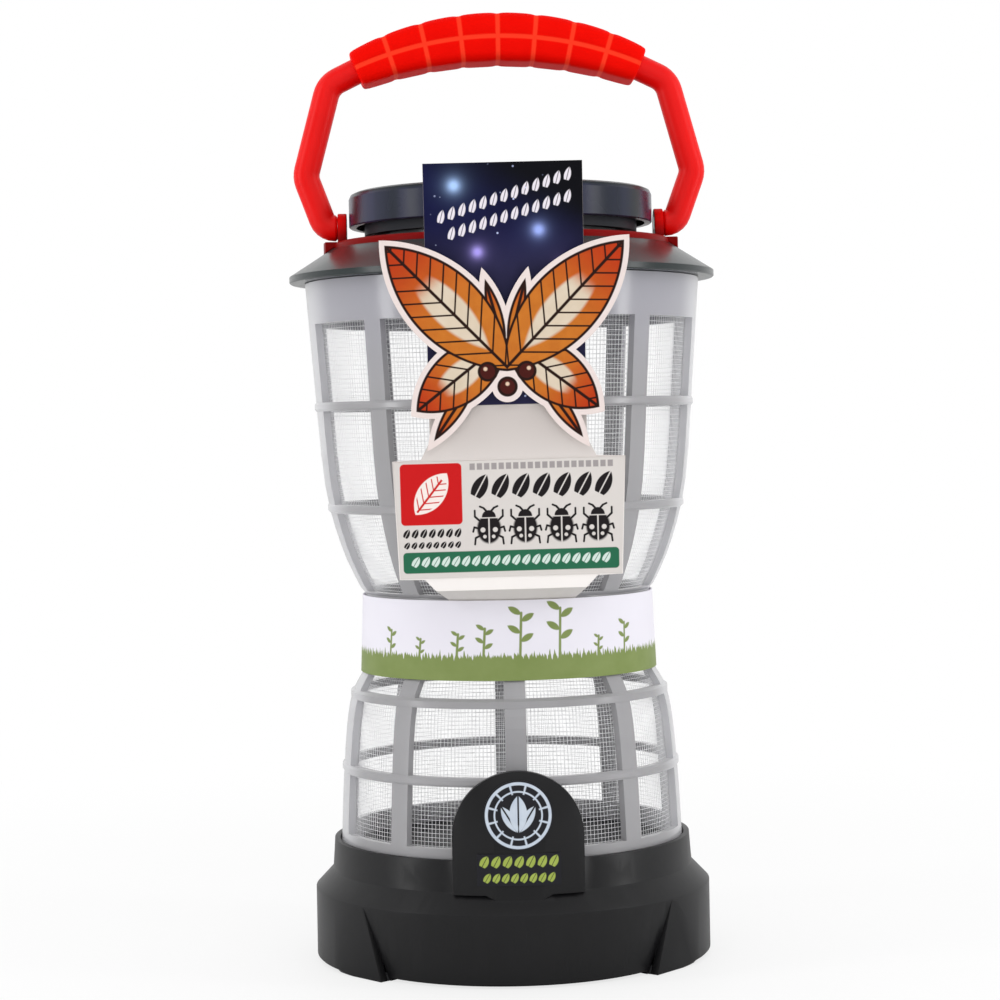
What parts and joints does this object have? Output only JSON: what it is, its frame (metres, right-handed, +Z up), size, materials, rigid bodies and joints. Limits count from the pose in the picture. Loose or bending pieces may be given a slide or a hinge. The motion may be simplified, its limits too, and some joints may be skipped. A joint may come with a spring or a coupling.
{
  "type": "bug catcher jar",
  "caption": "Lantern-shaped insect cage: black base, waisted mesh cage with a paper band and hang card, smoked lid, twist cap and red swinging carrying handle with a soft grip.",
  "frame": {"origin": "on the jar's upright axis, in the plane that its feet and bottom cover stand on", "axes": "+Z up along the jar's axis; -Y is the front, with the shield and the hang card; +X is to the right as seen from the front, so the handle's pivots lie on X"},
  "size_m": [0.1184, 0.1234, 0.2616],
  "materials": {
    "black_plastic": "fine matt texture",
    "cover_plastic": "plain matt",
    "screw_steel": "plated",
    "floor_plastic": "plain matt",
    "badge_grey": "printed film",
    "badge_green": "printed film",
    "cage_plastic": "cloudy white, slightly see-through",
    "net_white": "fine woven mesh",
    "smoked_plastic": "smoked, polished",
    "red_plastic": "smooth",
    "cap_plastic": "satin",
    "cap_dark": "plain matt",
    "liner_foam": "soft foam",
    "handle_plastic": "satin",
    "grip_rubber": "soft satin",
    "band_paper": "printed paper",
    "card_paper": "printed card",
    "label_paper": "printed paper",
    "motif_paper": "printed card",
    "pad_foam": "white foam"
  },
  "bodies": {
    "jar": {"base_shell": "black_plastic", "base_cover": "cover_plastic", "base_screws": "screw_steel", "floor_plate": "floor_plastic", "badge_disc": "badge_grey", "badge_strip": "badge_green", "cage_front": "cage_plastic", "cage_back": "cage_plastic", "net_front_upper": "net_white", "net_back_upper": "net_white", "net_front_lower": "net_white", "net_back_lower": "net_white", "lid_cone": "smoked_plastic", "yoke_ring": "red_plastic", "belly_band": "band_paper", "hang_card": "card_paper", "card_label": "label_paper", "motif_card": "motif_paper", "motif_pads": "pad_foam"},
    "handle": {"handle_bail": "handle_plastic", "grip_sleeve": "grip_rubber", "pivot_pin_left": "screw_steel", "pivot_pin_right": "screw_steel"},
    "liner": {"cap_liner": "liner_foam"},
    "cap": {"cap_shell": "cap_plastic", "cap_sleeve": "cap_dark"}
  },
  "joints": [
    {"name": "handle_hinge", "type": "hinge", "parent": "jar", "child": "handle", "pos_m": [0, 0, 0.2026], "axis": [1, 0, 0], "range_deg": [-84, 84]},
    {"name": "cap_lift", "type": "slide", "parent": "jar", "child": "liner", "axis": [0, 0, 1], "range_m": [0, 0.028]},
    {"name": "cap_turn", "type": "hinge", "parent": "liner", "child": "cap", "pos_m": [0, 0, 0.2], "axis": [0, 0, 1], "range_deg": [0, 90]}
  ]
}
